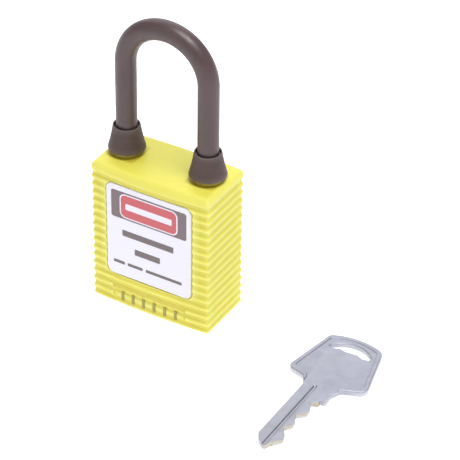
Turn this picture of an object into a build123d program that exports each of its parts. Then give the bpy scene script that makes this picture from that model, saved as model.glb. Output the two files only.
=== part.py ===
"""Safety padlock: a ribbed plastic body, a plastic shackle, a pin tumbler cylinder and its key.

Millimetres, +Z up. The origin is the centre of the body's underside, the front faces -Y, and the
shackle's heel leg, the one that stays in the body, is at -X.
"""

import os
from math import atan, cos, hypot, pi, sin

from build123d import *

# ---------------------------------------------------------------- driving dimensions
# body, measured over the crests of its ribs
body_width = 38.2
side_depth = 18.9
middle_depth = 20.7
body_height = 45.0
corner_radius = 1.0
top_round = 0.9
bottom_bevel = 0.3
rib_count = 16
rib_pitch = 2.66
rib_depth = 0.9
rib_height = 1.9
rib_chamfer = 0.55
lowest_crest = 2.75

# label plates, and the smooth panel below the front one
label_width = 27.4
label_bottom = 10.0
label_top = 40.3
label_radius = 2.0
label_thickness = 0.5
recess_margin = 0.5
recess_floor = 9.4
panel_width = 24.0
panel_height = 5.9
panel_depth = 0.3

# shackle
bar_radius = 3.0
leg_x = 13.1
arch_height = 74.2
heel_end = 9.4
toe_end = 35.0
leg_bevel = 0.8
shackle_travel = 12.0
neck_radius = 2.0
leg_clearance = 0.1

# collars on the body, and the dust caps above them
collar_radius = 4.5
collar_height = 1.2
cap_gap = 0.3
cap_base_radius = 5.35
cap_top_radius = 3.85
cap_height = 7.4
cap_edge = 0.5
cap_lip_radius = 3.4
cap_lip_depth = 0.8

# cavity for the lock work, and the metal blocks in it
cavity_half_width = 10.2
cavity_half_depth = 7.3
cavity_radius = 1.5
cavity_top = 42.5
block_half_width = 9.9
block_half_depth = 7.1
block_radius = 1.3
running_gap = 0.05

# bottom plate
plate_bottom = 0.3
plate_thickness = 1.5
plate_width = 34.2
plate_depth = 15.2
plate_radius = 2.8
plate_gap = 0.2
snap_width = 3.0
snap_thickness = 1.1
snap_length = 6.5
snap_spacing = 10.6

# cylinder housing and plug
housing_bottom = 1.9
housing_top = 28.0
nose_radius = 6.2
plug_radius = 5.0
plug_head_radius = 5.6
plug_top = 27.8
plug_neck_radius = 4.0
plug_neck_top = 30.2
clip_groove_radius = 3.4
clip_radius = 5.6
clip_thickness = 0.7
tail_top = 32.0
tail_half_length = 2.5
tail_half_width = 1.0
boss_half_width = 3.2
boss_end = 15.2
strip_half_width = 2.6
strip_thickness = 0.5

# retaining pin in the heel's neck, and the screw at the foot of the toe hole
retaining_pin_height = 25.0
retaining_pin_radius = 1.0
retaining_pin_length = 10.0
retaining_pin_x = -10.0
toe_hole_floor = 32.0
screw_x = 12.4
screw_radius = 1.4
screw_head_radius = 2.2
screw_head_height = 1.6
screw_grip = 5.0

# locking balls and their cam
ball_radius = 2.5
ball_height = 38.5
ball_rest_x = 9.1
ball_travel = 4.0
ball_gap = 0.2
cam_bottom = 36.3
cam_top = 40.7
chamber_radius = 6.9
chamber_top = 41.3
cam_low_radius = 2.4
cam_shaft_radius = 3.4
cam_pivot_radius = 1.5
cam_dwell = 24 * pi / 180
plug_turn = pi / 2

# pin stacks, from the keyway outwards
pin_count = 5
pin_pitch = 3.1
first_pin = 4.5
pin_radius = 1.15
chamber_radius_gap = 0.1
key_pin_end = 4.8
driver_start = 5.1
driver_length = 3.6

# springs: mean radius, wire radius and number of turns
shackle_coil = (2.2, 0.35, 5)
driver_coil = (0.85, 0.15, 8)

# key, lying flat beside the lock with its tip towards -Y
key_back_x = 53.3
key_tip_y = -44.2
key_thickness = 1.8
key_gap = 0.15
blade_height = 7.5
blade_length = 24.0
shoulder_height = 9.1
bow_start = 28.3
bow_corner_radius = 1.8
groove_place = 3.5
groove_width = 1.2
groove_depth = 0.35
relief_start = 4.9
relief_end = 23.0
relief_depth = 0.6
cut_heights = (5.9, 6.9, 4.9, 6.2, 4.6)

crest_heights = [lowest_crest + i * rib_pitch for i in range(rib_count)]
pin_heights = [first_pin + i * pin_pitch for i in range(pin_count)]
keyway_start = -4.1


# ---------------------------------------------------------------- shared shapes
def body_outline(inset=0.0):
    """Rounded outline of the body, with bowed front and back, set in from the rib crests."""
    half_width = body_width / 2 - inset
    side_y = side_depth / 2 - inset
    middle_y = middle_depth / 2 - inset
    with BuildSketch() as outline:
        with BuildLine():
            ThreePointArc((-half_width, -side_y), (0, -middle_y), (half_width, -side_y))
            Line((half_width, -side_y), (half_width, side_y))
            ThreePointArc((half_width, side_y), (0, middle_y), (-half_width, side_y))
            Line((-half_width, side_y), (-half_width, -side_y))
        make_face()
        fillet(outline.vertices(), corner_radius)
    return outline.sketch


def coil(radius, wire_radius, turns, length):
    """Compression spring of this length, standing on the XY plane."""
    height = length - 2 * wire_radius
    with BuildPart() as spring:
        with BuildLine(Plane.XY.offset(wire_radius)) as path:
            Helix(pitch=height / turns, height=height, radius=radius)
        with BuildSketch(Plane(origin=path.line @ 0, z_dir=path.line % 0)):
            Circle(wire_radius)
        sweep(path=path.line, is_frenet=True)
    return spring.part


def upright(x, y, z, facing):
    """Sketch plane at a point, with the part's up as its own, facing +1 or -1 along Y."""
    return Plane(origin=(x, y, z), x_dir=(-facing, 0, 0), z_dir=(0, facing, 0))


front_floor = upright(0, -recess_floor, 0, facing=-1)
rear_floor = upright(0, recess_floor, 0, facing=1)
label_height = label_top - label_bottom
label_middle = (label_top + label_bottom) / 2
crest_outline = body_outline()
valley_outline = body_outline(rib_depth)


def label_plate(floor_plane):
    """Rounded plate that lies in a label recess, on the plane of its floor."""
    with BuildPart() as plate:
        with BuildSketch(floor_plane):
            with Locations((0, label_middle)):
                RectangleRounded(label_width, label_height, label_radius)
        extrude(amount=label_thickness)
    return plate.part


# Seen from the rising toe leg, its ball goes down and towards the middle of the lock.
leave_direction = (-ball_travel, 0, -shackle_travel)
notch_radius = ball_radius + ball_gap
ball_centre = (ball_rest_x, 0, ball_height)

with BuildPart() as ball_paths:
    with BuildSketch(Plane(origin=ball_centre, z_dir=leave_direction)):
        Circle(notch_radius)
    extrude(amount=4 * ball_radius)
    with Locations(ball_centre):
        Sphere(notch_radius)
    mirror(about=Plane.YZ)

# ---------------------------------------------------------------- body
with BuildPart() as rib:
    with BuildSketch(Plane.XY.offset(-rib_height / 2)):
        add(crest_outline)
    extrude(amount=rib_height)
    chamfer(rib.edges().group_by(Axis.Z)[0] + rib.edges().group_by(Axis.Z)[-1], rib_chamfer)

with BuildPart() as cap_block:
    with BuildSketch(Plane.XY.offset(crest_heights[-1])):
        add(crest_outline)
    extrude(amount=body_height - crest_heights[-1])
    fillet(cap_block.edges().group_by(Axis.Z)[-1], top_round)

with BuildPart() as foot_block:
    with BuildSketch():
        add(crest_outline)
    extrude(amount=lowest_crest)
    chamfer(foot_block.edges().group_by(Axis.Z)[0], bottom_bevel)

with BuildPart() as body_shell:
    with BuildSketch():
        add(valley_outline)
    extrude(amount=body_height - top_round)
    add(foot_block.part)
    add(cap_block.part)
    with Locations(*[(0, 0, height) for height in crest_heights]):
        add(rib.part)
    with BuildSketch(Plane.XY.offset(body_height - top_round)):
        with Locations((-leg_x, 0), (leg_x, 0)):
            Circle(collar_radius)
    extrude(amount=top_round + collar_height)
    # label recesses, and the smooth panel at the foot of the front, which follows its bow
    for floor_plane in (front_floor, rear_floor):
        with BuildSketch(floor_plane):
            with Locations((0, label_middle)):
                RectangleRounded(
                    label_width + 2 * recess_margin,
                    label_height + 2 * recess_margin,
                    label_radius + recess_margin,
                )
        extrude(amount=middle_depth, mode=Mode.SUBTRACT)
    with BuildSketch():
        add(body_outline(-panel_depth))
        add(body_outline(panel_depth), mode=Mode.SUBTRACT)
        with Locations((0, -middle_depth / 2)):
            Rectangle(panel_width, middle_depth, mode=Mode.INTERSECT)
    extrude(amount=panel_height, mode=Mode.SUBTRACT)
    # cavity for the lock work, the slot beside it for the pin chambers, and the retaining pin's way in
    with BuildSketch():
        RectangleRounded(2 * cavity_half_width, 2 * cavity_half_depth, cavity_radius)
    extrude(amount=cavity_top, mode=Mode.SUBTRACT)
    slot_end = boss_end + strip_thickness + 0.2
    with BuildSketch():
        with Locations((slot_end / 2, 0)):
            Rectangle(slot_end, 2 * boss_half_width + 0.6)
    extrude(amount=housing_top + 0.4, mode=Mode.SUBTRACT)
    pin_way_end = retaining_pin_radius - retaining_pin_x + leg_clearance
    with BuildSketch():
        with Locations((-pin_way_end / 2, 0)):
            Rectangle(pin_way_end, retaining_pin_length + 0.4)
    extrude(amount=retaining_pin_height + retaining_pin_radius + 0.2, mode=Mode.SUBTRACT)
    # holes for the legs, the screw and the balls
    with BuildSketch():
        with Locations((-leg_x, 0)):
            Circle(bar_radius + leg_clearance)
    extrude(amount=body_height + collar_height, mode=Mode.SUBTRACT)
    with BuildSketch(Plane.XY.offset(toe_hole_floor)):
        with Locations((leg_x, 0)):
            Circle(bar_radius + leg_clearance)
    extrude(amount=body_height, mode=Mode.SUBTRACT)
    with BuildSketch(Plane.XY.offset(housing_top)):
        with Locations((screw_x, 0)):
            Circle(screw_radius + 0.2)
    extrude(amount=toe_hole_floor - housing_top, mode=Mode.SUBTRACT)
    with BuildSketch(Plane.YZ.offset(-leg_x)):
        with Locations((0, ball_height)):
            Circle(notch_radius)
    extrude(amount=2 * leg_x, mode=Mode.SUBTRACT)
    # seat for the bottom plate, with pockets for its snap legs
    with BuildSketch():
        RectangleRounded(plate_width + 2 * plate_gap, plate_depth + 2 * plate_gap, plate_radius)
    extrude(amount=plate_bottom + plate_thickness + 0.1, mode=Mode.SUBTRACT)
    with BuildSketch():
        with GridLocations(2 * leg_x, snap_spacing, 2, 2):
            Rectangle(snap_width + 2 * plate_gap, snap_thickness + 2 * plate_gap)
    extrude(amount=plate_bottom + plate_thickness + snap_length + plate_gap, mode=Mode.SUBTRACT)
body_shell.part.label = "body_shell"

front_label = label_plate(front_floor)
front_label.label = "front_label"
rear_label = label_plate(rear_floor)
rear_label.label = "rear_label"

with BuildPart() as bottom_plate:
    with BuildSketch(Plane.XY.offset(plate_bottom)):
        RectangleRounded(plate_width, plate_depth, plate_radius)
    extrude(amount=plate_thickness)
    with BuildSketch(Plane.XY.offset(plate_bottom + plate_thickness)):
        with GridLocations(2 * leg_x, snap_spacing, 2, 2):
            Rectangle(snap_width, snap_thickness)
    extrude(amount=snap_length)
    with BuildSketch():
        Circle(nose_radius + 0.1)
    extrude(amount=housing_bottom, mode=Mode.SUBTRACT)
bottom_plate.part.label = "bottom_plate"

# ---------------------------------------------------------------- shackle and dust caps
with BuildPart() as shackle:
    with BuildLine() as bar_line:
        heel_leg = Line((-leg_x, 0, heel_end), (-leg_x, 0, arch_height))
        arch = ThreePointArc(heel_leg @ 1, (0, 0, arch_height + leg_x), (leg_x, 0, arch_height))
        Line(arch @ 1, (leg_x, 0, toe_end))
    with BuildSketch(Plane(origin=(-leg_x, 0, heel_end), z_dir=(0, 0, 1))):
        Circle(bar_radius)
    sweep(path=bar_line.line)
    end_faces = shackle.faces().filter_by(GeomType.PLANE).filter_by(Axis.Z)
    chamfer(end_faces.edges(), leg_bevel)
    # long neck in the heel, where the retaining pin lies
    neck_top = retaining_pin_height + retaining_pin_radius + 0.2
    neck_bottom = retaining_pin_height - retaining_pin_radius - shackle_travel - 0.2
    with BuildSketch(Plane.XY.offset(neck_bottom)):
        with Locations((-leg_x, 0)):
            Circle(bar_radius + 1)
            Circle(neck_radius, mode=Mode.SUBTRACT)
    extrude(amount=neck_top - neck_bottom, mode=Mode.SUBTRACT)
    # notches for the balls
    add(ball_paths.part, mode=Mode.SUBTRACT)
shackle.part.label = "shackle"


def dust_cap(x):
    """Rubber cone round one leg, with a lip that stands off the bar at its top."""
    base = body_height + collar_height + cap_gap
    top = base + cap_height
    with BuildPart() as cone:
        with BuildSketch(upright(x, 0, 0, facing=-1)):
            with BuildLine():
                Polyline(
                    (bar_radius, base),
                    (cap_base_radius - cap_edge, base),
                    (cap_base_radius, base + cap_edge),
                    (cap_top_radius, top),
                    (cap_lip_radius, top),
                    (cap_lip_radius, top - cap_lip_depth),
                    (bar_radius, top - cap_lip_depth),
                    close=True,
                )
            make_face()
        revolve(axis=Axis((x, 0, 0), (0, 0, 1)))
    return cone.part


dust_cap_heel = dust_cap(-leg_x)
dust_cap_heel.label = "dust_cap_heel"
dust_cap_toe = dust_cap(leg_x)
dust_cap_toe.label = "dust_cap_toe"

spring_bottom = plate_bottom + plate_thickness + 0.1
shackle_spring = Pos(-leg_x, 0, spring_bottom) * coil(
    *shackle_coil, length=heel_end - spring_bottom - 0.1
)
shackle_spring.label = "shackle_spring"

with BuildPart() as retaining_pin:
    with BuildSketch(upright(retaining_pin_x, 0, retaining_pin_height, facing=1)):
        Circle(retaining_pin_radius)
    extrude(amount=retaining_pin_length / 2, both=True)
    chamfer(retaining_pin.edges().filter_by(GeomType.CIRCLE), 0.2)
retaining_pin.part.label = "retaining_pin"

# ---------------------------------------------------------------- cylinder housing
with BuildPart() as cylinder_housing:
    with BuildSketch(Plane.XY.offset(housing_bottom)):
        RectangleRounded(2 * block_half_width, 2 * block_half_depth, block_radius)
        with Locations((boss_end / 2, 0)):
            Rectangle(boss_end, 2 * boss_half_width)
    extrude(amount=housing_top - housing_bottom)
    with BuildSketch(Plane.XY.offset(plate_bottom)):
        Circle(nose_radius)
    extrude(amount=housing_bottom - plate_bottom)
    # bore for the plug, wider at its head
    with BuildSketch():
        Circle(plug_radius + running_gap)
    extrude(amount=housing_top, mode=Mode.SUBTRACT)
    with BuildSketch():
        Circle(plug_head_radius + running_gap)
    extrude(amount=housing_bottom, mode=Mode.SUBTRACT)
    # pin chambers, the retaining pin's half-round groove and the screw's hole
    with BuildSketch(Plane.YZ.offset(plug_radius - 1)):
        with Locations(*[(0, height) for height in pin_heights]):
            Circle(pin_radius + chamber_radius_gap)
    extrude(amount=boss_end, mode=Mode.SUBTRACT)
    with BuildSketch(upright(retaining_pin_x, 0, retaining_pin_height, facing=1)):
        Circle(retaining_pin_radius)
    extrude(amount=block_half_depth, both=True, mode=Mode.SUBTRACT)
    with BuildSketch(Plane.XY.offset(housing_top)):
        with Locations((screw_x, 0)):
            Circle(screw_radius)
    extrude(amount=-screw_grip - 0.5, mode=Mode.SUBTRACT)
cylinder_housing.part.label = "cylinder_housing"

with BuildPart() as chamber_strip:
    strip_bottom = housing_bottom + 0.2
    strip_top = pin_heights[-1] + 2 * pin_radius
    with BuildSketch(Plane.YZ.offset(boss_end)):
        with Locations((0, (strip_bottom + strip_top) / 2)):
            Rectangle(2 * strip_half_width, strip_top - strip_bottom)
    extrude(amount=strip_thickness)
chamber_strip.part.label = "chamber_strip"

with BuildPart() as cylinder_screw:
    head_top = toe_hole_floor + screw_head_height
    with BuildSketch(Plane.XY.offset(housing_top - screw_grip)):
        with Locations((screw_x, 0)):
            Circle(screw_radius)
    extrude(amount=toe_hole_floor - housing_top + screw_grip)
    with BuildSketch(Plane.XY.offset(toe_hole_floor)):
        with Locations((screw_x, 0)):
            Circle(screw_head_radius)
    extrude(amount=screw_head_height)
    with BuildSketch(Plane.XY.offset(head_top)):
        with Locations((screw_x, 0)):
            RegularPolygon(screw_head_radius / 2, 6)
    extrude(amount=-screw_head_height / 2, mode=Mode.SUBTRACT)
cylinder_screw.part.label = "cylinder_screw"

# ---------------------------------------------------------------- plug
clip_bottom = housing_top + 0.25

with BuildPart() as cylinder_plug:
    with BuildSketch(Plane.XY.offset(plate_bottom)):
        Circle(plug_head_radius)
    extrude(amount=housing_bottom - plate_bottom - 0.1)
    with BuildSketch(Plane.XY.offset(plate_bottom)):
        Circle(plug_radius)
    extrude(amount=plug_top - plate_bottom)
    with BuildSketch(Plane.XY.offset(plug_top)):
        Circle(plug_neck_radius)
    extrude(amount=plug_neck_top - plug_top)
    with BuildSketch(Plane.XY.offset(clip_bottom)):
        Circle(plug_neck_radius + 0.5)
        Circle(clip_groove_radius, mode=Mode.SUBTRACT)
    extrude(amount=clip_thickness, mode=Mode.SUBTRACT)
    # tail that drives the cam
    with BuildSketch(Plane.XY.offset(plug_neck_top)):
        Rectangle(2 * tail_half_length, 2 * tail_half_width)
    extrude(amount=tail_top - plug_neck_top)
    # keyway, narrowed by a ward that fits the key's groove, and the pins' holes
    with BuildSketch():
        with Locations((keyway_start + blade_height / 2 + key_gap, 0)):
            Rectangle(blade_height + 2 * key_gap, key_thickness + 2 * key_gap)
        with Locations((keyway_start + groove_place, key_thickness / 2 + key_gap)):
            Rectangle(groove_width - 2 * key_gap, groove_depth, mode=Mode.SUBTRACT)
    extrude(amount=plate_bottom + blade_length + 0.4, mode=Mode.SUBTRACT)
    with BuildSketch(Plane.YZ):
        with Locations(*[(0, height) for height in pin_heights]):
            Circle(pin_radius + chamber_radius_gap)
    extrude(amount=2 * plug_radius, mode=Mode.SUBTRACT)
cylinder_plug.part.label = "cylinder_plug"

with BuildPart() as plug_clip:
    with BuildSketch(Plane.XY.offset(clip_bottom)):
        Circle(clip_radius)
        Circle(clip_groove_radius, mode=Mode.SUBTRACT)
        with Locations((-clip_radius, 0)):
            Rectangle(clip_radius + 1, clip_groove_radius, mode=Mode.SUBTRACT)
    extrude(amount=clip_thickness)
plug_clip.part.label = "plug_clip"


def pin_stack(starts, ends, bevel):
    """Round pins along +X at the pin heights, bevelled at the end towards the keyway."""
    with BuildPart() as pins:
        for start, end, height in zip(starts, ends, pin_heights):
            with BuildSketch(Plane.YZ.offset(start)):
                with Locations((0, height)):
                    Circle(pin_radius)
            extrude(amount=end - start)
        faces = pins.faces().filter_by(Axis.X)
        inner_faces = faces.filter_by(lambda face: face.normal_at().X < 0)
        chamfer(inner_faces.edges(), bevel)
    return pins.part


# the right key lifts each key pin to the edge of the plug
key_pin_starts = [keyway_start + key_gap + height for height in cut_heights]
key_pins = pin_stack(key_pin_starts, [key_pin_end] * pin_count, bevel=0.5)
key_pins.label = "key_pins"
driver_end = driver_start + driver_length
driver_pins = pin_stack([driver_start] * pin_count, [driver_end] * pin_count, bevel=0.2)
driver_pins.label = "driver_pins"

one_spring = Rot(0, 90, 0) * coil(*driver_coil, length=boss_end - driver_end - 0.05)
driver_springs = Compound(
    children=[Pos(driver_end + 0.02, 0, height) * one_spring for height in pin_heights]
)
driver_springs.label = "driver_springs"

# ---------------------------------------------------------------- cam, balls and their block
with BuildPart() as ball_carrier:
    with BuildSketch(Plane.XY.offset(housing_top + 0.1)):
        RectangleRounded(2 * block_half_width, 2 * block_half_depth, block_radius)
    extrude(amount=cavity_top - housing_top - 0.2)
    with BuildSketch(Plane.XY.offset(housing_top)):
        Circle(chamber_radius)
    extrude(amount=chamber_top - housing_top, mode=Mode.SUBTRACT)
    with BuildSketch(Plane.YZ):
        with Locations((0, ball_height)):
            Circle(ball_radius + running_gap)
    extrude(amount=body_width / 2, both=True, mode=Mode.SUBTRACT)
    with BuildSketch(Plane.XY.offset(chamber_top)):
        Circle(cam_pivot_radius + running_gap)
    extrude(amount=1, mode=Mode.SUBTRACT)
ball_carrier.part.label = "ball_carrier"


def polar(radius, angle):
    """Point at this radius and angle round the cam's axis."""
    return Vector(radius * cos(angle), radius * sin(angle))


def cam_edge(turn):
    """Point of the cam just inside the ball at +X once the plug has turned by this much."""
    ball_distance = ball_rest_x - ball_travel * turn / plug_turn
    fall = ball_travel / plug_turn
    steepness = hypot(fall, ball_distance)
    inward = notch_radius * ball_distance / steepness
    sideways = notch_radius * fall / steepness
    return polar(ball_distance - inward, -turn) + polar(sideways, pi / 2 - turn)


high_start = cam_edge(0)
high_radius = high_start.length
high_angle = atan(high_start.Y / high_start.X)
spiral_steps = 6
spiral_points = [cam_edge(plug_turn * (1 - step / spiral_steps)) for step in range(spiral_steps + 1)]

with BuildPart() as locking_cam:
    # each lobe is a spiral out to the high part that blocks a ball, a short dwell and a step back
    with BuildSketch(Plane.XY.offset(cam_bottom)) as lobe:
        with BuildLine():
            spiral = Spline(spiral_points)
            dwell_end = polar(high_radius, high_angle + cam_dwell)
            dwell_middle = polar(high_radius, high_angle + cam_dwell / 2)
            ThreePointArc(spiral @ 1, dwell_middle, dwell_end)
            Polyline(dwell_end, (0, 0), spiral @ 0)
        make_face()
        add(lobe.sketch, rotation=180)
        Circle(cam_low_radius)
    extrude(amount=cam_top - cam_bottom)
    # shaft below, with a slot for the plug's tail, and a pivot above
    with BuildSketch(Plane.XY.offset(plug_neck_top + 0.1)):
        Circle(cam_shaft_radius)
    extrude(amount=cam_bottom - plug_neck_top - 0.1)
    with BuildSketch(Plane.XY.offset(plug_neck_top)):
        Rectangle(2 * cam_shaft_radius, 2 * (tail_half_width + running_gap))
    extrude(amount=tail_top - plug_neck_top + 0.1, mode=Mode.SUBTRACT)
    with BuildSketch(Plane.XY.offset(cam_top)):
        Circle(cam_pivot_radius)
    extrude(amount=chamber_top + 0.8 - cam_top)
locking_cam.part.label = "locking_cam"


def locking_ball(x):
    """Steel ball, at rest in a leg's notch."""
    with BuildPart() as ball:
        with Locations((x, 0, ball_height)):
            Sphere(ball_radius)
    return ball.part


ball_heel = locking_ball(-ball_rest_x)
ball_heel.label = "ball_heel"
ball_toe = locking_ball(ball_rest_x)
ball_toe.label = "ball_toe"


# ---------------------------------------------------------------- key
def on_key(across, along):
    """Point of the key, measured across it from the blade's back edge and along it from the tip."""
    return (key_back_x + across, key_tip_y + along)


tip = [on_key(0, 4.0), on_key(1.6, 1.6), on_key(3.9, 0.0)]
cuts = [
    on_key(4.8, 2.2),
    on_key(7.1, 4.7),
    on_key(6.6, 6.7),
    on_key(4.6, 9.4),
    on_key(6.3, 11.2),
    on_key(6.3, 12.6),
    on_key(4.9, 15.6),
    on_key(7.1, 17.2),
    on_key(7.1, 19.4),
    on_key(5.9, 21.9),
    on_key(7.7, 23.0),
    on_key(7.7, blade_length + 0.4),
]
shoulder = [on_key(shoulder_height, blade_length), on_key(shoulder_height, bow_start)]
bow_near_left = on_key(-7.5, 32.7)
bow_near_right = on_key(16.8, 33.2)
bow_far_left = on_key(-4.0, 50.9)
bow_far_middle = on_key(4.2, 52.8)
bow_far_right = on_key(12.4, 51.2)
slot_left = on_key(-1.9, 46.7)
slot_right = on_key(10.9, 47.0)

with BuildPart() as key:
    with BuildSketch() as key_outline:
        with BuildLine():
            Polyline(on_key(0, bow_start), *tip, *cuts, *shoulder, close=True)
        make_face()
        # bow, widest near the blade, with an arched far edge
        with BuildLine():
            ThreePointArc(bow_far_left, bow_far_middle, bow_far_right)
            Polyline(bow_far_right, bow_near_right, on_key(10.9, 31.1), shoulder[-1])
            Polyline(shoulder[-1], on_key(0, bow_start), on_key(-1.6, 31.2), bow_near_left)
            Line(bow_near_left, bow_far_left)
        make_face()
        corners = (bow_near_left, bow_near_right, bow_far_left, bow_far_right)
        vertices = key_outline.vertices()
        fillet(
            [vertices.sort_by_distance((*corner, 0))[0] for corner in corners], bow_corner_radius
        )
        # slot for a ring, arched like the far edge
        with BuildLine():
            ThreePointArc(slot_left, on_key(4.4, 50.7), slot_right)
            ThreePointArc(slot_right, on_key(4.4, 46.4), slot_left)
        make_face(mode=Mode.SUBTRACT)
    extrude(amount=key_thickness)
    # milled groove along each side of the blade
    for side in (0, key_thickness):
        with BuildSketch(Plane.XY.offset(side)):
            with Locations(on_key(groove_place, blade_length / 2 + 3)):
                Rectangle(groove_width, blade_length + 6.5)
        extrude(amount=groove_depth, both=True, mode=Mode.SUBTRACT)
    # the cut side of the blade is thinner, milled away from below
    with BuildSketch():
        with Locations(on_key(relief_start, -1)):
            Rectangle(relief_start, relief_end + 1, align=Align.MIN)
    extrude(amount=relief_depth, mode=Mode.SUBTRACT)
key.part.label = "key"

# ---------------------------------------------------------------- files
pieces = [
    body_shell.part,
    front_label,
    rear_label,
    bottom_plate.part,
    shackle.part,
    dust_cap_heel,
    dust_cap_toe,
    shackle_spring,
    retaining_pin.part,
    cylinder_housing.part,
    chamber_strip.part,
    cylinder_screw.part,
    cylinder_plug.part,
    plug_clip.part,
    key_pins,
    driver_pins,
    driver_springs,
    ball_carrier.part,
    locking_cam.part,
    ball_heel,
    ball_toe,
    key.part,
]

os.makedirs("parts", exist_ok=True)
for piece in pieces:
    export_step(piece, f"parts/{piece.label}.step")
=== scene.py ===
"""Looks of the safety padlock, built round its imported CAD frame.

Shapes are worked out in millimetres and turned into metres when their mesh is made. The front faces -Y.
What the CAD model fixes is read from the frame. The sizes of mouldings, prints and edges are named here.
"""

import math

import bmesh
import bpy
from mathutils import Matrix, Vector


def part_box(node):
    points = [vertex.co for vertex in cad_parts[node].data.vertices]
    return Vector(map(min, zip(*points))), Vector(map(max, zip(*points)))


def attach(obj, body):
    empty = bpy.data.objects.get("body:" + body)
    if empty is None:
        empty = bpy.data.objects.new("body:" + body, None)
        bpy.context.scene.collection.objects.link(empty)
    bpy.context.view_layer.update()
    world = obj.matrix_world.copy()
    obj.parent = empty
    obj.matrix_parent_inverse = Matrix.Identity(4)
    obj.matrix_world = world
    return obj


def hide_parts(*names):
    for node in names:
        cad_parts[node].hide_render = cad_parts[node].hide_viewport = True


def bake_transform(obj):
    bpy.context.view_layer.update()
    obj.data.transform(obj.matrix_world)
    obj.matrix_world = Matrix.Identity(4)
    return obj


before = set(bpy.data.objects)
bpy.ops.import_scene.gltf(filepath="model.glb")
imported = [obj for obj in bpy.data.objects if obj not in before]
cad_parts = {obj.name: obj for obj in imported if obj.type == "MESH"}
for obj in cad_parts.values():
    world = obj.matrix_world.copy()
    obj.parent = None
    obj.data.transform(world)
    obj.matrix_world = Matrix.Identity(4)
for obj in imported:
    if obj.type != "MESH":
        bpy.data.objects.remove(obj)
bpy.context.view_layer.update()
MM = 0.001


def node_box(node):
    """Lowest and highest corner of a CAD node, in millimetres."""
    low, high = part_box(node)
    return low / MM, high / MM


# ---------------------------------------------------------------- sizes from the frame
body_high = node_box("body_shell")[1]
label_low, label_high = node_box("front_label")
bar_low, bar_high = node_box("shackle")
cap_low, cap_high = node_box("dust_cap_toe")
ball_low, ball_high = node_box("ball_toe")
plate_low, plate_high = node_box("bottom_plate")
key_low, key_high = node_box("key")
carrier_high = node_box("ball_carrier")[1]
housing_high = node_box("cylinder_housing")[1]
screw_low, screw_high = node_box("cylinder_screw")
pin_low, pin_high = node_box("retaining_pin")
spring_low, spring_high = node_box("shackle_spring")
strip_high = node_box("chamber_strip")[1]

half_width = body_high.x
middle_y = body_high.y
bar_radius = bar_high.y
leg_x = bar_high.x - bar_radius
arch_z = bar_high.z - bar_radius - leg_x
ball_centre = (ball_low + ball_high) / 2
ball_radius = (ball_high.z - ball_low.z) / 2
label_z = (label_low.z + label_high.z) / 2

# ---------------------------------------------------------------- sizes of the looks
# body: bow of its front and back, edges, ribs and collars, and how far the painted shade round the collars
# reaches
side_y = middle_y - 0.9
corner_radius = 0.7
collar_height = 1.2
collar_radius = 4.0
body_top = body_high.z - collar_height
top_round = (1.7, 2.35)
top_fullness = 0.77
bottom_bevel = 0.25
rib_count = 16
rib_pitch = 2.66
rib_depth = 0.43
rib_fullness = 1.6
lowest_crest = 2.75
# how far the painted shade spreads over the top round each collar
painted_shade_reach = 1.2

# hollows of the body: label recesses, smooth panel, holes and cavity
label_radius = 2.0
label_edge = 0.12
recess_margin = 0.4
panel_half_width = 12.0
panel_top = 5.9
panel_depth = 0.2
leg_hole_radius = bar_radius + 0.1
cavity_gap = 0.25
cavity_corner = 1.5
pocket_gap = 0.2
screw_hole_radius = 1.6
screw_head_height = 1.6
toe_hole_floor = screw_high.z - screw_head_height
strip_pocket_y = 3.5
ball_bore_radius = ball_radius + 0.2

# bottom plate and its four snap legs
plate_thickness = 1.5
plate_corner_radius = 2.8
nose_hole_radius = 6.3
gate_x = 10.6
gate_radius = 1.1
snap_leg = (1.5, 0.55)
snap_y = 5.3
snap_pocket = (1.7, 0.75)
snap_top = 8.5

# prints
ink_thickness = 0.03
ink_sunk = 0.05
mark_count = 6
mark_pitch = 3.5
mark_half_width = 0.5

# dust caps
cap_top_radius = 3.9
cap_mouth_radius = 3.45
cap_mouth_depth = 0.8
cap_edge = 0.3
cap_waist = 0.12

# shackle
toe_end = 35.0
leg_edge = 0.8
neck_radius = 2.0
shackle_travel = 12.0
ball_travel = 4.0

# heel spring: wire radius, number of turns, and share of the wire in each flat end turn
spring_wire = 0.35
spring_turns = 6.5
spring_end_share = 0.12

# key: places across the blade from its back edge, and along it from the tip
key_back_x = 53.3
key_thickness = key_high.z
key_relief = 0.15
key_edge = 0.1
blade_length = 24.0
groove_across = (2.9, 4.1)
groove_end = 29.2
groove_depth = 0.3
blade_relief = 0.6
relief_across = 4.9
relief_end = 22.8
rim_edge = 0.3

FRONT = Matrix.Rotation(math.pi / 2, 4, "X")
REAR = Matrix.Rotation(math.pi, 4, "Z") @ FRONT


# ---------------------------------------------------------------- outlines
def arc(centre, radius, start, end, steps):
    """Points along an arc, both ends included. Angles are in degrees."""
    angles = [math.radians(start + (end - start) * i / steps) for i in range(steps + 1)]
    return [(centre[0] + radius * math.cos(a), centre[1] + radius * math.sin(a)) for a in angles]


def circle(radius, steps=72):
    """Outline function of a circle."""
    return lambda inset=0.0: arc((0, 0), radius - inset, 0, 360 - 360 / steps, steps - 1)


def rounded_corners(corners, steps=6):
    """Outline through corners (x, y, radius), each rounded by its radius."""
    points = []
    for i, (x, y, radius) in enumerate(corners):
        corner = Vector((x, y))
        if radius <= 0:
            points.append((x, y))
            continue
        before = (Vector(corners[i - 1][:2]) - corner).normalized()
        after = (Vector(corners[(i + 1) % len(corners)][:2]) - corner).normalized()
        half_angle = before.angle(after) / 2
        centre = corner + (before + after).normalized() * radius / math.sin(half_angle)
        reach = radius / math.tan(half_angle)
        start = corner + before * reach - centre
        turn = start.angle_signed(corner + after * reach - centre)
        for k in range(steps + 1):
            spoke = Matrix.Rotation(-turn * k / steps, 2) @ start
            points.append(tuple(centre + spoke))
    return points


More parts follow.
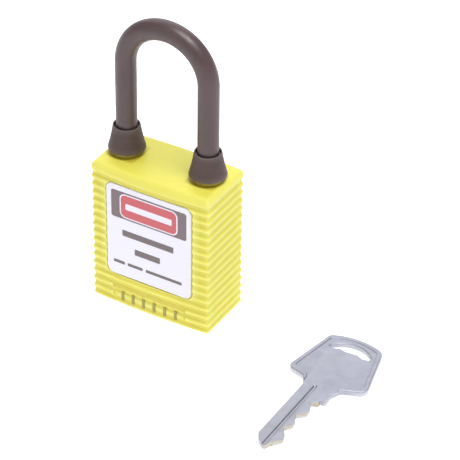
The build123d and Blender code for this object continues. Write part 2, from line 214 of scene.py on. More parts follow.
def rounded_rectangle(half_x, half_y, radius, steps=8):
    """Outline function of a rounded rectangle round the origin."""

    def outline(inset=0.0):
        x, y, r = half_x - inset, half_y - inset, max(radius - inset, 0.02)
        corners = ((x - r, y - r, 0), (r - x, y - r, 90), (r - x, r - y, 180), (x - r, r - y, 270))
        return [p for cx, cy, start in corners for p in arc((cx, cy), r, start, start + 90, steps)]

    return outline


def moved(outline, x, y):
    """The outline function, moved."""
    return lambda inset=0.0: [(px + x, py + y) for px, py in outline(inset)]


def front_y(x, inset=0.0):
    """Place of the bowed front at x, set in from the rib crests."""
    bow = middle_y - side_y
    return bow * (x / half_width) ** 2 - middle_y + inset


def body_outline(inset=0.0):
    """Outline of the body with bowed front and back, set in from the rib crests."""
    half_x = half_width - inset
    radius = max(corner_radius - inset, 0.25)
    slope = math.atan(2 * (middle_y - side_y) / half_width)
    bow_end = half_x - radius + radius * math.sin(slope)
    corner_y = front_y(bow_end, inset) + radius * math.cos(slope)
    bow_steps, side_steps = 16, 3
    quarter = [(bow_end * i / bow_steps, front_y(bow_end * i / bow_steps, inset)) for i in range(bow_steps)]
    quarter += arc((half_x - radius, corner_y), radius, math.degrees(slope) - 90, 0, 7)
    quarter += [(half_x, corner_y * (1 - i / side_steps)) for i in range(1, side_steps + 1)]
    right = quarter + [(x, -y) for x, y in reversed(quarter[:-1])]
    return right + [(-x, y) for x, y in reversed(right[1:-1])]


# ---------------------------------------------------------------- mesh tools
def mesh_object(name, vertices, faces):
    """Closed mesh object with outward normals, from points in millimetres."""
    mesh = bpy.data.meshes.new(name)
    mesh.from_pydata([Vector(v) * MM for v in vertices], [], faces)
    work = bmesh.new()
    work.from_mesh(mesh)
    bmesh.ops.remove_doubles(work, verts=work.verts, dist=1e-7)
    bmesh.ops.recalc_face_normals(work, faces=work.faces)
    work.to_mesh(mesh)
    work.free()
    obj = bpy.data.objects.new(name, mesh)
    bpy.context.scene.collection.objects.link(obj)
    return obj


def skin(name, loops, ring=False):
    """Skin over loops of equally many points. A ring joins the last loop to the first."""
    count = len(loops[0])
    vertices = [point for loop in loops for point in loop]
    pairs = [(i * count, (i + 1) * count) for i in range(len(loops) - 1)]
    if ring:
        pairs.append(((len(loops) - 1) * count, 0))
    faces = []
    for low, high in pairs:
        for i in range(count):
            j = (i + 1) % count
            faces.append((low + i, low + j, high + j, high + i))
    if not ring:
        faces.append(tuple(range(count))[::-1])
        faces.append(tuple(range(len(vertices) - count, len(vertices))))
    return mesh_object(name, vertices, faces)


def stack(name, outline, levels, place=Matrix()):
    """Solid whose outline is set in by each level's inset. Levels are (height, inset) pairs."""
    loops = [
        [place @ Vector((x, y, height)) for x, y in outline(inset)] for height, inset in levels
    ]
    return skin(name, loops)


def rounded_top(height, edge, steps=4, reach=None):
    """Levels of a rounded upper edge that is reach tall and takes edge off the outline."""
    reach = reach or edge
    turns = [math.pi / 2 * i / steps for i in range(steps + 1)]
    return [(height - reach + reach * math.sin(a), edge * (1 - math.cos(a))) for a in turns]


def lathe(name, profile, x=0.0, steps=72):
    """Ring turned round the upright axis at x, from a closed profile of (radius, height)."""
    loops = [[(x + px, py, height) for px, py in circle(radius, steps)()] for radius, height in profile]
    return skin(name, loops, ring=True)


def bake_modifiers(obj):
    """Replaces the object's mesh by what its modifiers make of it."""
    graph = bpy.context.evaluated_depsgraph_get()
    mesh = bpy.data.meshes.new_from_object(obj.evaluated_get(graph))
    obj.modifiers.clear()
    obj.data = mesh
    return obj


def combine(obj, other, operation):
    """Joins or cuts obj with another solid, which is used up."""
    modifier = obj.modifiers.new("solid", "BOOLEAN")
    modifier.operation = operation
    modifier.object = other
    modifier.solver = "MANIFOLD"
    bake_modifiers(obj)
    bpy.data.objects.remove(other)
    return obj


def cut(obj, *cutters):
    """Cuts each cutter out of obj."""
    for cutter in cutters:
        combine(obj, cutter, "DIFFERENCE")
    return obj


def smooth(obj, degrees=32):
    """Smooth shading that keeps edges sharper than this angle."""
    obj.data.shade_smooth()
    obj.data.set_sharp_from_angle(angle=math.radians(degrees))
    modifier = obj.modifiers.new("even", "WEIGHTED_NORMAL")
    modifier.keep_sharp = True
    return bake_modifiers(obj)


def paint(mesh, *materials):
    """Makes these the mesh's materials."""
    mesh.materials.clear()
    for material in materials:
        mesh.materials.append(material)


def finish_piece(obj, material, body, replaces=()):
    """Gives a piece its material, its body and the CAD nodes it stands for."""
    paint(obj.data, material)
    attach(obj, body)
    if replaces:
        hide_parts(*replaces)
    return obj


# ---------------------------------------------------------------- materials
class Finish:
    """Procedural material: a Principled shader fed by noises in object space."""

    def __init__(self, name, **values):
        self.material = bpy.data.materials.new(name)
        self.material.use_nodes = True
        self.nodes = self.material.node_tree.nodes
        self.links = self.material.node_tree.links
        self.shader = self.nodes["Principled BSDF"]
        self.place = self.nodes.new("ShaderNodeTexCoord").outputs["Object"]
        for socket, value in values.items():
            self.shader.inputs[socket.replace("_", " ")].default_value = value

    def noise(self, size, stretch=(1, 1, 1), detail=3.0):
        """Noise with grains of about this size in millimetres, drawn out by stretch."""
        mapping = self.nodes.new("ShaderNodeMapping")
        mapping.inputs["Scale"].default_value = [1 / (size * MM * s) for s in stretch]
        texture = self.nodes.new("ShaderNodeTexNoise")
        texture.inputs["Scale"].default_value = 1.0
        texture.inputs["Detail"].default_value = detail
        self.links.new(self.place, mapping.inputs["Vector"])
        self.links.new(mapping.outputs["Vector"], texture.inputs["Vector"])
        return texture.outputs["Fac"]

    def edges(self):
        """Mask that is higher on convex edges than in grooves."""
        return self.nodes.new("ShaderNodeNewGeometry").outputs["Pointiness"]

    def remap(self, mask, low, high, start, end):
        """Mask turned into a value that runs from low at start to high at end."""
        node = self.nodes.new("ShaderNodeMapRange")
        values = {"From Min": start, "From Max": end, "To Min": low, "To Max": high}
        for socket, value in values.items():
            node.inputs[socket].default_value = value
        self.links.new(mask, node.inputs["Value"])
        return node.outputs["Result"]

    def blend(self, mask, under, over):
        """Colour that goes from under to over as the mask goes from 0 to 1."""
        node = self.nodes.new("ShaderNodeMix")
        node.data_type = "RGBA"
        self.links.new(mask, node.inputs["Factor"])
        for socket, colour in ((node.inputs["A"], under), (node.inputs["B"], over)):
            if isinstance(colour, tuple):
                socket.default_value = (*colour, 1.0)
            else:
                self.links.new(colour, socket)
        return node.outputs["Result"]

    def colour(self, value):
        """Sets the base colour."""
        self.links.new(value, self.shader.inputs["Base Color"])
        return self

    def roughness(self, mask, low, high, start=0.35, end=0.65):
        """Roughness that follows a mask."""
        self.links.new(self.remap(mask, low, high, start, end), self.shader.inputs["Roughness"])
        return self

    def bump(self, mask, height):
        """Adds relief of this height in millimetres to what is there."""
        node = self.nodes.new("ShaderNodeBump")
        node.inputs["Distance"].default_value = height * MM
        self.links.new(mask, node.inputs["Height"])
        normal = self.shader.inputs["Normal"]
        if normal.is_linked:
            self.links.new(normal.links[0].from_socket, node.inputs["Normal"])
        self.links.new(node.outputs["Normal"], normal)
        return self


def moulded(name, base, light, dark, hollow, grain=0.16, relief=0.006, **values):
    """Moulded plastic: cloudy colour, edges paler from wear and from a painted highlight, painted shade in
    hollows, and a fine spark-eroded grain.
    """
    finish = Finish(name, **values)
    clouds = finish.remap(finish.noise(6.0), 0.0, 1.0, 0.35, 0.7)
    # Paler convex edges and rib crests: partly wear and dust, partly a painted highlight.
    wear_and_highlight_mask = finish.remap(finish.edges(), 0.0, 0.8, 0.504, 0.54)
    # Painted shade: colour drawn towards the hollow colour in grooves, rib valleys and round the collars.
    painted_shade_mask = finish.remap(finish.edges(), 1.0, 0.0, 0.48, 0.497)
    finish.colour(finish.blend(wear_and_highlight_mask, finish.blend(painted_shade_mask, finish.blend(clouds, base, dark), hollow), light))
    return finish.bump(finish.noise(grain, detail=2.0), relief).bump(finish.noise(5.0), 0.03)


def yellow_plastic():
    """Yellow polyamide of the body and its bottom plate."""
    finish = moulded(
        "yellow_plastic",
        base=(0.76, 0.71, 0.10),
        # light: paler rib crests and edges, partly a painted highlight
        light=(0.84, 0.82, 0.26),
        dark=(0.74, 0.68, 0.085),
        # hollow: painted shade in grooves, rib valleys and round the collars
        hollow=(0.62, 0.51, 0.05),
        Subsurface_Weight=0.15,
        Subsurface_Radius=(1.0, 0.75, 0.2),
        Subsurface_Scale=1.2 * MM,
        IOR=1.5,
    )
    return finish.roughness(finish.noise(1.5), 0.36, 0.48).material


def dark_plastic():
    """Dark polyamide of the shackle."""
    finish = moulded(
        "dark_plastic",
        base=(0.082, 0.049, 0.052),
        # light is partly a painted highlight on edges; hollow below is painted shade in hollows
        light=(0.11, 0.075, 0.08),
        dark=(0.070, 0.042, 0.045),
        hollow=(0.055, 0.035, 0.036),
        grain=0.22,
        relief=0.005,
        IOR=1.5,
    )
    return finish.roughness(finish.noise(0.8, stretch=(1, 1, 3)), 0.33, 0.45).material


def rubber():
    """Matt rubber of the dust caps, with a bloom of dust and a painted highlight on the edges, and painted
    shade in its hollows.
    """
    finish = moulded(
        "rubber",
        base=(0.082, 0.050, 0.048),
        light=(0.15, 0.115, 0.11),
        dark=(0.060, 0.038, 0.036),
        # hollow: painted shade at the foot and in the mouth
        hollow=(0.035, 0.022, 0.022),
        grain=0.12,
        relief=0.012,
        IOR=1.45,
    )
    return finish.roughness(finish.noise(0.5), 0.5, 0.68).material


def printed(name, colour, roughness=0.3):
    """Ink or label stock: nearly even colour with a faint screen grain."""
    finish = Finish(name, IOR=1.48)
    paler = tuple(min(1.0, c * 1.03 + 0.005) for c in colour)
    finish.colour(finish.blend(finish.remap(finish.noise(0.35), 0, 1, 0.35, 0.65), colour, paler))
    finish.bump(finish.noise(0.25, detail=2.0), 0.0004)
    return finish.roughness(finish.noise(2.0), roughness * 0.95, roughness * 1.08).material


def nickel():
    """Nickel plate of the key: brushed along the blade, with fine wear and a painted highlight on its edges.
    """
    finish = Finish("nickel", Metallic=1.0)
    stains = finish.remap(finish.noise(3.0, detail=5.0), 0, 1, 0.4, 0.75)
    # Paler edges: partly wear, partly a painted highlight.
    edge_wear_and_highlight = finish.remap(finish.edges(), 0, 0.7, 0.52, 0.64)
    finish.colour(
        finish.blend(edge_wear_and_highlight, finish.blend(stains, (0.42, 0.425, 0.49), (0.36, 0.365, 0.43)), (0.62, 0.62, 0.67))
    )
    brush = finish.noise(0.05, stretch=(1, 30, 1), detail=2.0)
    finish.bump(brush, 0.003).bump(finish.noise(1.2), 0.006)
    return finish.roughness(brush, 0.42, 0.55).material


def metal(name, base, dark, roughness, grain=0.3, relief=0.004, stretch=(1, 1, 1)):
    """Bare metal with a toned surface and fine tool marks or casting grain."""
    finish = Finish(name, Metallic=1.0)
    finish.colour(finish.blend(finish.remap(finish.noise(1.8, detail=4.0), 0, 1, 0.35, 0.7), base, dark))
    marks = finish.noise(grain, stretch=stretch, detail=3.0)
    finish.bump(marks, relief)
    return finish.roughness(marks, roughness * 0.8, roughness * 1.25).material


def floor_finish():
    """Pale matt floor, lit a little from below as on a light table."""
    finish = Finish("floor", Roughness=0.9, Specular_IOR_Level=0.1, Emission_Strength=0.52)
    finish.shader.inputs["Emission Color"].default_value = (1.0, 1.0, 1.0, 1.0)
    return finish.colour(finish.blend(finish.noise(40.0), (0.90, 0.90, 0.91), (0.91, 0.91, 0.92))).material


yellow = yellow_plastic()
shackle_plastic = dark_plastic()
cap_rubber = rubber()
label_stock = printed("label_stock", (0.79, 0.775, 0.885), roughness=0.4)
header_ink = printed("header_ink", (0.18, 0.13, 0.145))
red_ink = printed("red_ink", (0.56, 0.10, 0.12))
text_ink = printed("text_ink", (0.15, 0.12, 0.13))
mark_ink = printed("mark_ink", (0.34, 0.29, 0.05), roughness=0.45)
key_nickel = nickel()
key_brass = metal("key_brass", (0.50, 0.47, 0.39), (0.42, 0.385, 0.30), 0.42, 0.06, 0.004, (20, 1, 1))
turned_brass = metal("turned_brass", (0.72, 0.55, 0.26), (0.60, 0.44, 0.19), 0.3, 0.08, 0.003, (1, 1, 0.3))
zinc = metal("zinc", (0.50, 0.51, 0.53), (0.40, 0.41, 0.43), 0.45, 0.35, 0.012)
steel = metal("steel", (0.56, 0.56, 0.58), (0.46, 0.46, 0.48), 0.3, 0.1, 0.003)
polished = metal("polished_steel", (0.68, 0.68, 0.70), (0.62, 0.62, 0.65), 0.14, 0.4, 0.001)


# ---------------------------------------------------------------- body
def rib_levels():
    """Levels of the body's skin from its underside to its top: soft waves under a rounded upper edge."""
    steps, edge_steps = 16, 12
    edge_inset, edge_height = top_round
    top_crest = lowest_crest + (rib_count - 1) * rib_pitch

    def wave(height):
        turn = 2 * math.pi * (height - lowest_crest) / rib_pitch
        return (height, rib_depth * (1 - ((1 + math.cos(turn)) / 2) ** rib_fullness))

    rim_softness = 0.03
    levels = [(0.0, bottom_bevel), (bottom_bevel / 2, wave(bottom_bevel)[1] + rim_softness)]
    first_step = math.ceil((bottom_bevel - top_crest) * steps / rib_pitch)
    levels += [wave(top_crest + rib_pitch * i / steps) for i in range(first_step, 0)]
    for i in range(edge_steps + 1):
        angle = math.pi / 2 * i / edge_steps
        rise, narrowing = math.sin(angle) ** top_fullness, 1 - math.cos(angle) ** top_fullness
        levels.append((body_top - edge_height * (1 - rise), edge_inset * narrowing))
    return levels


def split_top(body):
    """Splits the flat top round each collar, so that the painted shade drawn from edge sharpness stays next
    to the collar.
    """
    margin = collar_radius + painted_shade_reach
    places = [Vector((x + side * margin, 0, 0)) for x in (-leg_x, leg_x) for side in (-1, 1)]
    places += [Vector((0, -margin, 0)), Vector((0, margin, 0))]
    work = bmesh.new()
    work.from_mesh(body.data)
    for place in places:
        top = [face for face in work.faces if face.normal.z > 0.999]
        edges = {edge for face in top for edge in face.edges}
        vertices = {vertex for face in top for vertex in face.verts}
        parts = [*top, *edges, *vertices]
        bmesh.ops.bisect_plane(work, geom=parts, plane_co=place * MM, plane_no=place.normalized())
    work.to_mesh(body.data)
    work.free()


def panel_space():
    """Outline of what is cleared in front of the smooth panel, which follows the front's bow."""
    steps = 12
    places = [panel_half_width * (2 * i / steps - 1) for i in range(steps + 1)]
    front = [(x, front_y(x, panel_depth)) for x in places]
    outside = -middle_y - 2
    return [*front, (panel_half_width, outside), (-panel_half_width, outside)]


def make_body():
    """The yellow body: a ribbed skin with collars, label recesses, a smooth panel and its hollows."""
    body = stack("ribbed_body", body_outline, rib_levels())
    split_top(body)
    collar = [(body_top - 0.5, -0.4), (body_top, -0.4), (body_top + 0.1, -0.15), (body_top + 0.3, 0.0)]
    collar += rounded_top(body_high.z, 0.2)
    for x in (-leg_x, leg_x):
        combine(body, stack("collar", moved(circle(collar_radius), x, 0), collar), "UNION")

    half_x, half_z = label_high.x + recess_margin, (label_high.z - label_low.z) / 2 + recess_margin
    recess = moved(rounded_rectangle(half_x, half_z, label_radius + recess_margin), 0, label_z)
    outside = middle_y + 2
    for place in (FRONT, REAR):
        cut(body, stack("recess", recess, [(-label_high.y, 0), (outside, 0)], place))
    below = -1.0
    cut(body, stack("panel", lambda inset: panel_space(), [(below, 0), (panel_top, 0)]))
    above = body_high.z + 1
    screw_x = (screw_low.x + screw_high.x) / 2
    cavity = rounded_rectangle(carrier_high.x + cavity_gap, carrier_high.y + cavity_gap, cavity_corner)
    strip_pocket = rounded_rectangle(strip_high.x / 2 + pocket_gap, strip_pocket_y, 0.2)
    pin_pocket = rounded_rectangle(-pin_low.x / 2 + 0.1, pin_high.y + pocket_gap, 0.2)
    plate_pocket = rounded_rectangle(
        plate_high.x + pocket_gap, plate_high.y + pocket_gap, plate_corner_radius + pocket_gap
    )
    hollows = [
        (moved(circle(leg_hole_radius), -leg_x, 0), below, above),
        (moved(circle(leg_hole_radius), leg_x, 0), toe_hole_floor, above),
        (moved(circle(screw_hole_radius, 32), screw_x, 0), housing_high.z, toe_hole_floor + 1),
        (cavity, below, carrier_high.z + 0.1),
        (moved(strip_pocket, strip_high.x / 2, 0), below, housing_high.z + 0.4),
        (moved(pin_pocket, pin_low.x / 2, 0), below, pin_high.z + pocket_gap),
        (plate_pocket, below, plate_low.z + plate_thickness + 0.1),
    ]
    for x in (-leg_x, leg_x):
        for y in (-snap_y, snap_y):
            hollows.append((moved(rounded_rectangle(*snap_pocket, 0.2), x, y), below, snap_top))
    for outline, low, high in hollows:
        cut(body, stack("hollow", outline, [(low, 0), (high, 0)]))
    sideways = Matrix.Translation((0, 0, ball_centre.z)) @ Matrix.Rotation(math.pi / 2, 4, "Y")
    cut(body, stack("ball_bore", circle(ball_bore_radius), [(-leg_x, 0), (leg_x, 0)], sideways))
    return finish_piece(smooth(body), yellow, "lock_body", ["body_shell"])


make_body()

# ---------------------------------------------------------------- labels and prints
def label_plate(name, place, node):
    """Rounded plate in a label recess."""
    half_z = (label_high.z - label_low.z) / 2
    outline = moved(rounded_rectangle(label_high.x, half_z, label_radius), 0, label_z)
    back, thickness = -label_high.y, label_high.y - label_low.y
    levels = [(back, 0.0), *rounded_top(back + thickness, label_edge)]
    plate = stack(name, outline, levels, place)
    return finish_piece(smooth(plate), label_stock, "lock_body", [node])


def ink(name, material, left, right, bottom, top, radius, layer=1, surface=-label_low.y):
    """Thin printed patch on the front, a layer's thickness above what it lies on."""
    outline = rounded_rectangle((right - left) / 2, (top - bottom) / 2, radius)
    outline = moved(outline, (left + right) / 2, (bottom + top) / 2)
    base = surface + ink_thickness * (layer - 1)
    levels = [(base - ink_sunk, 0.0), (base + ink_thickness * 0.7, 0.0), (base + ink_thickness, 0.015)]
    patch = stack(name, outline, levels, FRONT)
    return finish_piece(smooth(patch), material, "lock_body")


def make_labels():
    """Both label plates, and the generic print on the front one and on the smooth panel."""
    label_plate("front_label_plate", FRONT, "front_label")
    label_plate("rear_label_plate", REAR, "rear_label")
    ink("print_header", header_ink, -12.1, 12.3, 29.6, 38.6, 0.7)
    ink("print_panel_border", label_stock, -9.3, 9.5, 30.1, 38.1, 1.9, layer=2)
    ink("print_panel", red_ink, -8.9, 9.1, 30.5, 37.7, 1.5, layer=3)
    ink("print_panel_bar", label_stock, -7.4, 7.6, 33.1, 35.1, 0.3, layer=4)
    text_bars = [
        (-8.6, 8.1, 23.9, 25.9),
        (-4.6, 3.7, 18.6, 20.6),
        (-11.6, -7.9, 14.0, 15.0),
        (-7.0, -2.0, 14.0, 15.0),
        (-1.0, 10.8, 14.0, 15.0),
    ]
    for number, (left, right, bottom, top) in enumerate(text_bars, 1):
        ink(f"print_bar_{number}", text_ink, left, right, bottom, top, 0.25)
    for number in range(mark_count):
        x = (number - (mark_count - 1) / 2) * mark_pitch
        left, right, surface = x - mark_half_width, x + mark_half_width, -front_y(x, panel_depth)
        ink(f"print_mark_{number + 1}", mark_ink, left, right, 1.3, 4.3, 0.2, surface=surface)


make_labels()


# ---------------------------------------------------------------- shackle, caps and spring
def bar_loop(x, z, outward, radius, steps=64):
    """Round section of the bar at a point of its middle line; outward points off the bend."""
    out = Vector((outward[0], 0, outward[1]))
    return [Vector((x, py, z)) + out * px for px, py in circle(radius, steps)()]


def capsule(name, centre, direction, radius, length):
    """Rounded start at centre, and a straight round run from there."""
    place = Matrix.Translation(centre) @ direction.to_track_quat("Z", "Y").to_matrix().to_4x4()
    steps = 10
    turns = [math.pi / 2 * (i + 0.2) / steps for i in range(steps)]
    levels = [(-radius * math.cos(a), radius * (1 - math.sin(a))) for a in turns]
    return stack(name, circle(radius, 48), [*levels, (0.0, 0.0), (length, 0.0)], place)


def leg_end(end):
    """Levels (height, radius) of a leg's rounded end, from the full bar down."""
    levels = rounded_top(leg_edge, leg_edge)
    return [(end + leg_edge - height, bar_radius - inset) for height, inset in levels]


def make_shackle():
    """The bent bar, with its rounded leg ends, the heel's neck and the balls' notches."""
    neck_bottom = pin_low.z - shackle_travel - 0.2
    neck_top = pin_high.z + 0.2
    heel = [*reversed(leg_end(bar_low.z)), (neck_bottom, bar_radius)]
    heel += [(neck_bottom, neck_radius), (neck_top, neck_radius), (neck_top, bar_radius)]
    loops = [bar_loop(-leg_x, z, (-1, 0), radius) for z, radius in heel]
    straight_steps, bend_steps = 8, 40
    straight = [(arch_z - cap_high.z) * i / straight_steps + cap_high.z for i in range(straight_steps)]
    loops += [bar_loop(-leg_x, z, (-1, 0), bar_radius) for z in straight]
    for x, z in arc((0, 0), 1, 180, 0, bend_steps):
        loops.append(bar_loop(leg_x * x, arch_z + leg_x * z, (x, z), bar_radius))
    loops += [bar_loop(leg_x, z, (1, 0), bar_radius) for z in reversed(straight)]
    loops += [bar_loop(leg_x, z, (1, 0), radius) for z, radius in leg_end(toe_end)]
    shackle = skin("bent_bar", loops)
    for side in (-1, 1):
        centre = Vector((side * ball_centre.x, 0, ball_centre.z))
        leave = Vector((-side * ball_travel, 0, -shackle_travel)).normalized()
        cut(shackle, capsule("notch", centre, leave, ball_bore_radius, 4 * ball_radius))
    return finish_piece(smooth(shackle), shackle_plastic, "shackle", ["shackle"])


def make_cap(name, x, node):
    """Rubber cone round a leg, with a rounded foot and a mouth that stands off the bar."""
    bottom, top = cap_low.z, cap_high.z
    bore = bar_radius + 0.01
    foot = arc((cap_high.y - cap_edge, bottom + cap_edge), cap_edge, -90, -5, 5)
    rim_radius = (cap_top_radius - cap_mouth_radius) / 2
    rim = arc((cap_mouth_radius + rim_radius, top - rim_radius), rim_radius, 10, 180, 6)
    steps = 8
    (foot_radius, foot_z), (top_radius, top_z) = foot[-1], rim[0]
    side = []
    for i in range(1, steps):
        waist = cap_waist * math.sin(math.pi * i / steps)
        radius = foot_radius + (top_radius - foot_radius) * i / steps - waist
        side.append((radius, foot_z + (top_z - foot_z) * i / steps))
    mouth_floor = top - cap_mouth_depth
    mouth = [(cap_mouth_radius, mouth_floor + 0.2), (cap_mouth_radius - 0.15, mouth_floor)]
    profile = [(bore, bottom), *foot, *side, *rim, *mouth, (bore, mouth_floor)]
    cap = lathe(name, profile, x)
    return finish_piece(smooth(cap, 40), cap_rubber, "shackle", [node])


def make_spring():
    """Coil spring under the heel, with flat end turns."""
    wire = spring_wire
    radius = (spring_high.x - spring_low.x) / 2 - wire
    low, high = spring_low.z + wire, spring_high.z - wire
    steps_per_turn, sides = 40, 12
    steps = int(spring_turns * steps_per_turn)
    end_rise = 2 * wire * 0.9
    loops = []
    for step in range(steps + 1):
        share = step / steps
        angle = 2 * math.pi * spring_turns * share
        first = min(share / spring_end_share, 1.0)
        last = max((share - 1 + spring_end_share) / spring_end_share, 0.0)
        between = min(max((share - spring_end_share) / (1 - 2 * spring_end_share), 0.0), 1.0)
        height = low + end_rise * (first + last) + between * (high - low - 2 * end_rise)
        out = Vector((math.cos(angle), math.sin(angle), 0))
        centre = Vector((-leg_x, 0, height)) + out * radius
        loops.append([centre + out * px + Vector((0, 0, py)) for px, py in circle(wire, sides)()])
    spring = smooth(skin("heel_spring", loops), 60)
    spring.data.materials.append(steel)
    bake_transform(spring)
    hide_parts("shackle_spring")


make_shackle()
make_cap("rubber_cap_heel", -leg_x, "dust_cap_heel")
make_cap("rubber_cap_toe", leg_x, "dust_cap_toe")
make_spring()


# ---------------------------------------------------------------- underside
def make_plate():
    """Bottom plate with a chamfered rim, a hole round the housing's nose and four snap legs."""
    bottom = plate_low.z
    outline = rounded_rectangle(plate_high.x, plate_high.y, plate_corner_radius)
    levels = [(bottom, 0.25), (bottom + 0.2, 0.05), (bottom + 0.35, 0.0)]
    levels += rounded_top(bottom + plate_thickness, 0.15)
    plate = stack("snap_plate", outline, levels)
    for x in (-leg_x, leg_x):
        for y in (-snap_y, snap_y):
            leg = moved(rounded_rectangle(*snap_leg, 0.15), x, y)
            levels = [(bottom + 0.8, 0.0), *rounded_top(plate_high.z, 0.2)]
            combine(plate, stack("snap_leg", leg, levels), "UNION")
    lead_in = 0.25
    hole = [(bottom - 1, -lead_in), (bottom, -lead_in), (bottom + lead_in, 0.0), (bottom + 3, 0.0)]
    cut(plate, stack("nose_hole", circle(nose_hole_radius), hole))
    gate = [(bottom - 1, 0.0), *rounded_top(bottom + 0.35, 0.15)]
    for x in (-gate_x, gate_x):
        cut(plate, stack("gate_mark", moved(circle(gate_radius, 32), x, 0), gate))
    return finish_piece(smooth(plate), yellow, "lock_body", ["bottom_plate"])


make_plate()


# ---------------------------------------------------------------- key
def on_key(across, along):
    """Place on the floor, from across the blade's back edge and along it from the tip."""
    return key_back_x + across, key_low.y + along


def through_points(start, middle, end, steps=12):
    """Points along the arc through three points, without its start."""
    a, b, c = (Vector(p) for p in (start, middle, end))
    ab, ac = b - a, c - a
    cross = 2 * (ab.x * ac.y - ab.y * ac.x)
    centre = a + Vector((
        (ac.y * ab.length_squared - ab.y * ac.length_squared) / cross,
        (ab.x * ac.length_squared - ac.x * ab.length_squared) / cross,
    ))
    turn = (a - centre).angle_signed(c - centre)
    return [tuple(centre + Matrix.Rotation(-turn * i / steps, 2) @ (a - centre)) for i in range(1, steps + 1)]


def inset_loop(points):
    """Outline function of a closed loop that runs anticlockwise, set in with mitred corners."""

    def outline(inset=0.0):
        result = []
        for i, point in enumerate(points):
            corner = Vector(point)
            before = (corner - Vector(points[i - 1])).normalized()
            after = (Vector(points[(i + 1) % len(points)]) - corner).normalized()
            inwards = Vector((-before.y - after.y, before.x + after.x))
            result.append(tuple(corner + inwards * inset / (1 + before.dot(after))))
        return result

    return outline


def key_solid(name, corners, levels):
    """Flat solid over corners (across, along, radius) of the key."""
    corners = [(*on_key(across, along), radius) for across, along, radius in corners]
    return stack(name, inset_loop(rounded_corners(corners)), levels)


def bowed_edge(start, middle, end, trim):
    """Sharp corners along an arc of the key, without the first and last ones, where roundings end."""
    points = through_points(start, middle, end, 24)[trim : -1 - trim]
    return [(across, along, 0.0) for across, along in points]


def make_key():
    """Flat key: a grooved blade with cuts, a shoulder, and a bow with a raised rim, a field and a slot."""
    tip = [(0, 4.0, 0.4), (1.6, 1.6, 0.5), (3.9, 0.0, 0.4)]
    cuts = [(4.8, 2.2, 0.3), (7.1, 4.7, 0.5), (6.6, 6.7, 0.3), (4.6, 9.4, 0.5), (6.3, 11.2, 0.4),
            (6.3, 12.6, 0.4), (4.9, 15.6, 0.5), (7.1, 17.2, 0.4), (7.1, 19.4, 0.4), (5.9, 21.9, 0.4),
            (7.7, 23.0, 0.3), (7.7, blade_length, 0.2)]
    shoulder = [(9.1, blade_length, 0.4), (8.9, 27.5, 1.8), (10.3, 30.8, 2.0)]
    far_left, far_middle, far_right = (-4.0, 50.9), (4.2, 52.8), (12.4, 51.2)
    bow = [(16.8, 33.2, 2.4), (*far_right, 2.8), *bowed_edge(far_right, far_middle, far_left, 3),
           (*far_left, 1.8), (-7.5, 32.7, 2.0)]
    neck = [(-1.7, 31.3, 1.3), (0, 28.2, 1.2)]
    low, high = key_relief, key_thickness - key_relief
    flat = [(low, key_edge), (low + key_edge, 0.0), *rounded_top(high, key_edge, steps=2)]
    key = key_solid("flat_key", [*neck, *tip, *cuts, *shoulder, *bow], flat)

    proud = 0.01
    rim_levels = [(0.0, rim_edge - proud), (rim_edge, -proud)]
    rim_levels += [(height, inset - proud) for height, inset in rounded_top(key_thickness, rim_edge)]
    rim = key_solid("bow_rim", [*neck, (8.9, 28.0, 0.2), shoulder[-1], *bow], rim_levels)
    field = [(-6.0, 33.7, 1.4), (-1.3, 32.5, 1.2), (-0.6, 31.0, 0.8), (-0.6, 26.0, 0.2), (9.7, 26.0, 0.2),
             (9.7, 29.4, 0.6), (10.3, 32.1, 1.2), (15.3, 34.2, 1.6), (11.4, 50.0, 1.8),
             *bowed_edge((11.4, 50.0), (4.2, 51.6), (-3.1, 49.8), 2), (-3.1, 49.8, 1.2)]
    slope = [(-1.0, -0.1), (0.0, 0.0), (low + 0.05, 0.2), (high - 0.05, 0.2), (key_thickness, 0.0),
             (key_thickness + 1.0, -0.1)]
    combine(key, cut(rim, key_solid("bow_field", field, slope)), "UNION")

    slot_start, slot_middle, slot_end = (-2.0, 46.8), (4.4, 50.2), (10.9, 47.1)
    slot_near = [(-1.2, 45.8, 0.5), (1.4, 46.8, 0.6), (3.5, 46.4, 0.6), (6.7, 46.8, 0.6), (8.7, 45.9, 0.6),
                 (10.5, 46.2, 0.5), (*slot_end, 0.4)]
    slot = [*slot_near, *bowed_edge(slot_end, slot_middle, slot_start, 1), (*slot_start, 0.3)]
    edge = 0.2
    through = [(-1.0, -edge), (low, -edge), (low + edge, 0.0), (high - edge, 0.0), (high, -edge),
               (key_thickness + 1.0, -edge)]
    cut(key, key_solid("ring_slot", slot, through))

    start, end = groove_across
    before_tip, past_cuts = -1.0, 12.0
    groove = [(start, before_tip, 0.0), (end, before_tip, 0.0)]
    groove += [(end, groove_end, 0.5), (start, groove_end, 0.5)]
    top = [(high - groove_depth, 0.35), (high, 0.0), (high + 0.5, -0.1)]
    under = [(low - 0.5, -0.1), (low, 0.0), (low + groove_depth, 0.35)]
    for levels in (top, under):
        cut(key, key_solid("groove", groove, levels))
    thinned = [(relief_across, before_tip, 0.0), (past_cuts, before_tip, 0.0), (past_cuts, relief_end, 0.0),
               (relief_across, relief_end, 1.0)]
    cut(key, key_solid("thinned", thinned, [(-1.0, 0.0), (low + blade_relief, 0.0)]))

    finish_piece(smooth(key), key_nickel, "key", ["key"])
    paint(key.data, key_nickel, key_brass)
    for face in key.data.polygons:
        across, along = face.center.x / MM - key_back_x, face.center.y / MM - key_low.y
        if abs(face.normal.z) < 0.5 and across > 4.0 and along < blade_length - 0.1:
            face.material_index = 1


make_key()


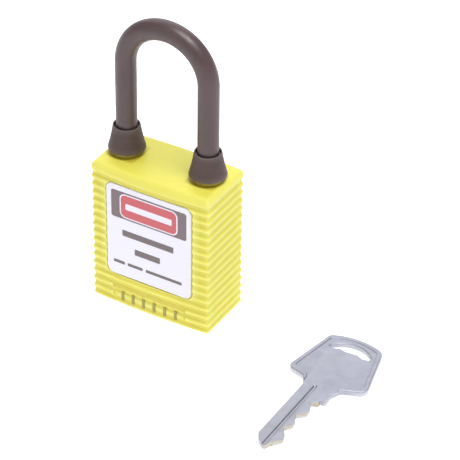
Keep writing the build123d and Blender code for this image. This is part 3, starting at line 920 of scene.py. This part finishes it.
# ---------------------------------------------------------------- CAD pieces inside the lock
carried_over = {
    "cylinder_housing": zinc,
    "ball_carrier": zinc,
    "locking_cam": zinc,
    "cylinder_plug": turned_brass,
    "chamber_strip": turned_brass,
    "key_pins": turned_brass,
    "driver_pins": turned_brass,
    "driver_springs": steel,
    "cylinder_screw": steel,
    "plug_clip": steel,
    "retaining_pin": steel,
    "ball_heel": polished,
    "ball_toe": polished,
}
for node, material in carried_over.items():
    paint(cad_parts[node].data, material)


# ---------------------------------------------------------------- floor, light and camera
def make_floor():
    """Wide pale floor under the lock and the key."""
    reach = 3000.0
    corners = [(-reach, -reach, 0), (reach, -reach, 0), (reach, reach, 0), (-reach, reach, 0)]
    floor = mesh_object("floor", corners, [(0, 1, 2, 3)])
    floor.data.materials.append(floor_finish())


def make_light(name, place, size, power, colour):
    """Square soft light at a place in millimetres, aimed at the middle of the body."""
    light = bpy.data.lights.new(name, "AREA")
    light.size = size * MM
    light.energy = power
    light.color = colour
    lamp = bpy.data.objects.new(name, light)
    bpy.context.scene.collection.objects.link(lamp)
    aim = Vector((0, 0, body_top / 2))
    lamp.location = Vector(place) * MM
    lamp.rotation_euler = (aim - Vector(place)).to_track_quat("-Z", "Y").to_euler()


def make_sky(strength):
    """Even white surroundings."""
    world = bpy.data.worlds.new("studio")
    world.use_nodes = True
    background = world.node_tree.nodes["Background"]
    background.inputs["Color"].default_value = (0.95, 0.97, 1.0, 1.0)
    background.inputs["Strength"].default_value = strength
    bpy.context.scene.world = world


def make_camera():
    """Camera of the photograph: from the front right and above, a little rolled."""
    yaw, pitch, roll = 30.334, 35.216, 0.832
    distance, field_of_view = 641.1, 11.256
    aim_right, aim_up = 17.24, -17.99
    turn = Matrix.Rotation(math.radians(yaw), 4, "Z")
    turn @= Matrix.Rotation(math.radians(90 - pitch), 4, "X")
    turn @= Matrix.Rotation(math.radians(roll), 4, "Z")
    place = Vector((0, 0, body_top)) + turn @ Vector((aim_right, aim_up, distance))
    camera = bpy.data.objects.new("camera", bpy.data.cameras.new("camera"))
    bpy.context.scene.collection.objects.link(camera)
    camera.data.angle = math.radians(field_of_view)
    camera.matrix_world = Matrix.Translation(place * MM) @ turn
    bpy.context.scene.camera = camera


make_floor()
make_light("soft_box", (190, -90, 700), 340, 4.6, (1.0, 0.99, 0.97))
make_light("fill", (-350, -650, 300), 500, 0.5, (0.97, 0.98, 1.0))
make_light("backdrop", (-330, 560, 460), 900, 3.0, (0.95, 0.96, 1.0))
make_sky(0.30)
make_camera()
bpy.context.scene.view_settings.view_transform = "Standard"
